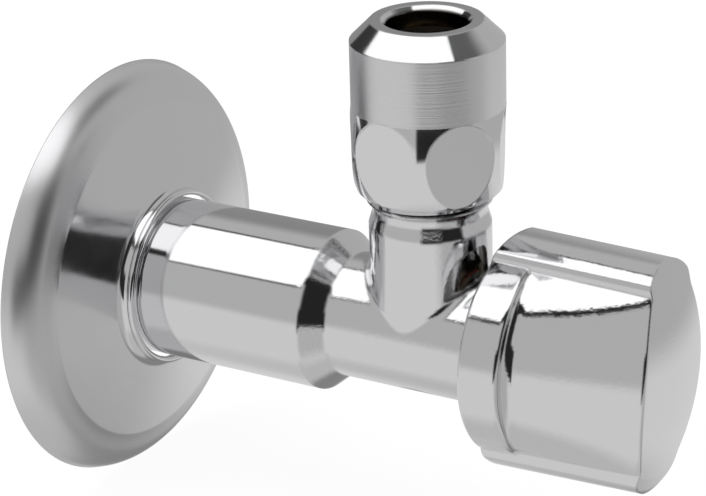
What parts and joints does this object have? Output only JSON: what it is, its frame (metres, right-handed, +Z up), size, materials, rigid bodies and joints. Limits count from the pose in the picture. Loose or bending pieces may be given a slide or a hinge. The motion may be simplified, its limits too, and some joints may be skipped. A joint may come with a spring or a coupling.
{
  "type": "angle isolating valve",
  "caption": "Chromed angle isolating valve with wall rosette, round nut with milled flats on the upright outlet, and a knob with a bowed grip and small wings.",
  "frame": {"origin": "where the inlet axis meets the finished wall, which is the root of the wall thread", "axes": "+Y along the inlet axis into the wall, -Y out to the knob, +Z up along the outlet branch, +X sideways"},
  "size_m": [0.0584, 0.0958, 0.0724],
  "materials": {
    "body_chrome": "chrome-plated brass: polished on the turned shank, slightly uneven on the forged tee",
    "rosette_chrome": "chrome-plated pressed sheet, polished",
    "nut_chrome": "chrome-plated brass with fine turning lines and milled flats",
    "knob_chrome": "chrome-plated casting, polished",
    "bare_brass": "turned brass, unplated",
    "seal_rubber": "matt black rubber",
    "fibre": "red-brown fibre",
    "slip_plastic": "white low-friction plastic",
    "insert_plastic": "light grey plastic",
    "spring_steel": "plain spring steel"
  },
  "bodies": {
    "fixed_valve": {"valve_body": "body_chrome", "headwork_gasket": "fibre", "headwork_body": "bare_brass"},
    "turning_knob": {"spindle": "bare_brass", "spindle_ring_inner": "seal_rubber", "spindle_ring_outer": "seal_rubber", "spindle_circlip": "spring_steel", "thrust_washer": "slip_plastic", "knob": "knob_chrome", "knob_insert": "insert_plastic"},
    "plunger": {"valve_plunger": "bare_brass", "seat_washer": "seal_rubber", "washer_screw": "bare_brass"},
    "olive": {"compression_olive": "bare_brass"},
    "nut": {"compression_nut": "nut_chrome"},
    "rosette": {"wall_rosette": "rosette_chrome"}
  },
  "joints": [
    {"name": "knob_turn", "type": "hinge", "parent": "fixed_valve", "child": "turning_knob", "pos_m": [0, -0.0616, 0], "axis": [0, -1, 0], "range_deg": [0, 864]},
    {"name": "plunger_slide", "type": "slide", "parent": "fixed_valve", "child": "plunger", "axis": [0, -1, 0], "range_m": [0, 0.00362]},
    {"name": "olive_rise", "type": "slide", "parent": "fixed_valve", "child": "olive", "axis": [0, 0, 1], "range_m": [0, 0.01206]},
    {"name": "nut_turn", "type": "hinge", "parent": "olive", "child": "nut", "pos_m": [0, -0.0505, 0.0202], "axis": [0, 0, 1], "range_deg": [0, 3240]},
    {"name": "rosette_slide", "type": "slide", "parent": "fixed_valve", "child": "rosette", "axis": [0, -1, 0], "range_m": [-0.00105, 0.022]}
  ],
  "couplings": [
    {"joint": "plunger_slide", "follows": "knob_turn", "m_per_rad": 0.00023873},
    {"joint": "olive_rise", "follows": "nut_turn", "m_per_rad": 0.00021276}
  ]
}
